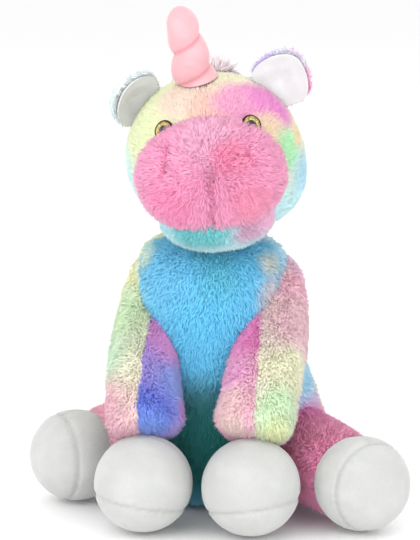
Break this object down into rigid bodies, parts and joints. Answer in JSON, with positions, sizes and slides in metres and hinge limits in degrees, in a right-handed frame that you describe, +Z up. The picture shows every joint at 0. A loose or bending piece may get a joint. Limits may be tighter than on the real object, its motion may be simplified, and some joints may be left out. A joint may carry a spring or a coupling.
{
  "type": "plush unicorn",
  "caption": "Seated plush unicorn in tie-dye pile, with smooth white hooves, a stuffed horn, floppy ears and limbs that bend at their seams.",
  "frame": {"origin": "on the flat face of the seat, level with the hips and on the middle line of the body", "axes": "+Z up through the body to the horn, -Y the way that the toy faces, +X to the right of someone who looks at its face"},
  "size_m": [0.2337, 0.2424, 0.3033],
  "materials": {
    "sky_plush": "short dense pile",
    "tie_dye_plush": "short dense pile in tie-dye pastels",
    "pink_plush": "short dense pile",
    "teal_plush": "short dense pile",
    "white_velour": "smooth short velour",
    "pink_satin": "smooth short velour with a soft sheen",
    "thread": "twisted thread",
    "long_pile": "long silky pile",
    "pellets": "cloth bag of plastic pellets",
    "fibre": "loose polyester fibre",
    "clear_plastic": "clear and glossy",
    "gold_glitter": "gold glitter",
    "black_plastic": "glossy",
    "white_plastic": "matte"
  },
  "bodies": {
    "torso": {"seat_base": "sky_plush", "belly_panel": "sky_plush", "back_panel_left": "tie_dye_plush", "back_panel_right": "tie_dye_plush", "pellet_pouch": "pellets", "torso_stuffing": "fibre"},
    "neck": {"neck_panel": "sky_plush", "neck_stuffing": "fibre"},
    "head": {"head_panel_left": "tie_dye_plush", "head_panel_right": "tie_dye_plush", "head_panel_back": "tie_dye_plush", "head_stuffing": "fibre", "muzzle_panel": "pink_plush", "muzzle_stuffing": "fibre", "lower_jaw": "teal_plush", "mane": "long_pile", "eye_lens_left": "clear_plastic", "eye_lens_right": "clear_plastic", "eye_glitter_left": "gold_glitter", "eye_glitter_right": "gold_glitter", "eye_stem_left": "black_plastic", "eye_stem_right": "black_plastic", "eye_washer_left": "white_plastic", "eye_washer_right": "white_plastic"},
    "horn": {"horn_cover": "pink_satin", "horn_stuffing": "fibre", "horn_thread": "thread"},
    "tail": {"tail": "long_pile"},
    "ear_left": {"ear_lining_left": "white_velour", "ear_back_left": "tie_dye_plush"},
    "arm_left": {"arm_outer_panel_left": "tie_dye_plush", "arm_inner_panel_left": "tie_dye_plush", "arm_stuffing_left": "fibre", "front_hoof_cover_left": "white_velour", "front_hoof_sole_left": "white_velour", "front_hoof_stuffing_left": "fibre"},
    "leg_left": {"leg_panel_left": "pink_plush", "leg_stuffing_left": "fibre", "hind_hoof_cover_left": "white_velour", "hind_hoof_sole_left": "white_velour", "hind_hoof_stuffing_left": "fibre"},
    "ear_right": {"ear_lining_right": "white_velour", "ear_back_right": "tie_dye_plush"},
    "arm_right": {"arm_outer_panel_right": "tie_dye_plush", "arm_inner_panel_right": "tie_dye_plush", "arm_stuffing_right": "fibre", "front_hoof_cover_right": "white_velour", "front_hoof_sole_right": "white_velour", "front_hoof_stuffing_right": "fibre"},
    "leg_right": {"leg_panel_right": "pink_plush", "leg_stuffing_right": "fibre", "hind_hoof_cover_right": "white_velour", "hind_hoof_sole_right": "white_velour", "hind_hoof_stuffing_right": "fibre"}
  },
  "joints": [
    {"name": "neck_turn", "type": "hinge", "parent": "torso", "child": "neck", "pos_m": [0.004, -0.009, 0.163], "axis": [0, 0, 1], "range_deg": [-25, 20]},
    {"name": "head_nod", "type": "hinge", "parent": "neck", "child": "head", "pos_m": [0.004, -0.009, 0.163], "axis": [-1, 0, 0], "range_deg": [-8, 12]},
    {"name": "shoulder_left", "type": "hinge", "parent": "torso", "child": "arm_left", "pos_m": [-0.0356, -0.002, 0.134], "axis": [-1, 0, 0], "range_deg": [0, 30]},
    {"name": "shoulder_right", "type": "hinge", "parent": "torso", "child": "arm_right", "pos_m": [0.0356, -0.002, 0.134], "axis": [-1, 0, 0], "range_deg": [0, 30]},
    {"name": "hip_left", "type": "hinge", "parent": "torso", "child": "leg_left", "pos_m": [-0.042, 0, 0.0335], "axis": [0, 0, -1], "range_deg": [-3, 22]},
    {"name": "hip_right", "type": "hinge", "parent": "torso", "child": "leg_right", "pos_m": [0.042, 0, 0.0335], "axis": [0, 0, 1], "range_deg": [-3, 22]},
    {"name": "ear_flop_left", "type": "hinge", "parent": "head", "child": "ear_left", "pos_m": [-0.03786, -0.01994, 0.24406], "axis": [0.4988, 0.0349, 0.866], "range_deg": [-20, 15], "stiffness_Nm_per_rad": 0.02},
    {"name": "ear_flop_right", "type": "hinge", "parent": "head", "child": "ear_right", "pos_m": [0.0373, -0.01469, 0.24933], "axis": [0.9113, 0.0637, -0.4067], "range_deg": [-20, 15], "stiffness_Nm_per_rad": 0.02},
    {"name": "horn_lean", "type": "hinge", "parent": "head", "child": "horn", "pos_m": [-0.00698, -0.03483, 0.25934], "axis": [-0.1179, 0.9644, 0.2366], "range_deg": [-9, 9], "stiffness_Nm_per_rad": 0.05},
    {"name": "tail_wag", "type": "hinge", "parent": "torso", "child": "tail", "pos_m": [0, 0.076, 0.046], "axis": [0, 0, 1], "range_deg": [-25, 25], "stiffness_Nm_per_rad": 0.03}
  ]
}
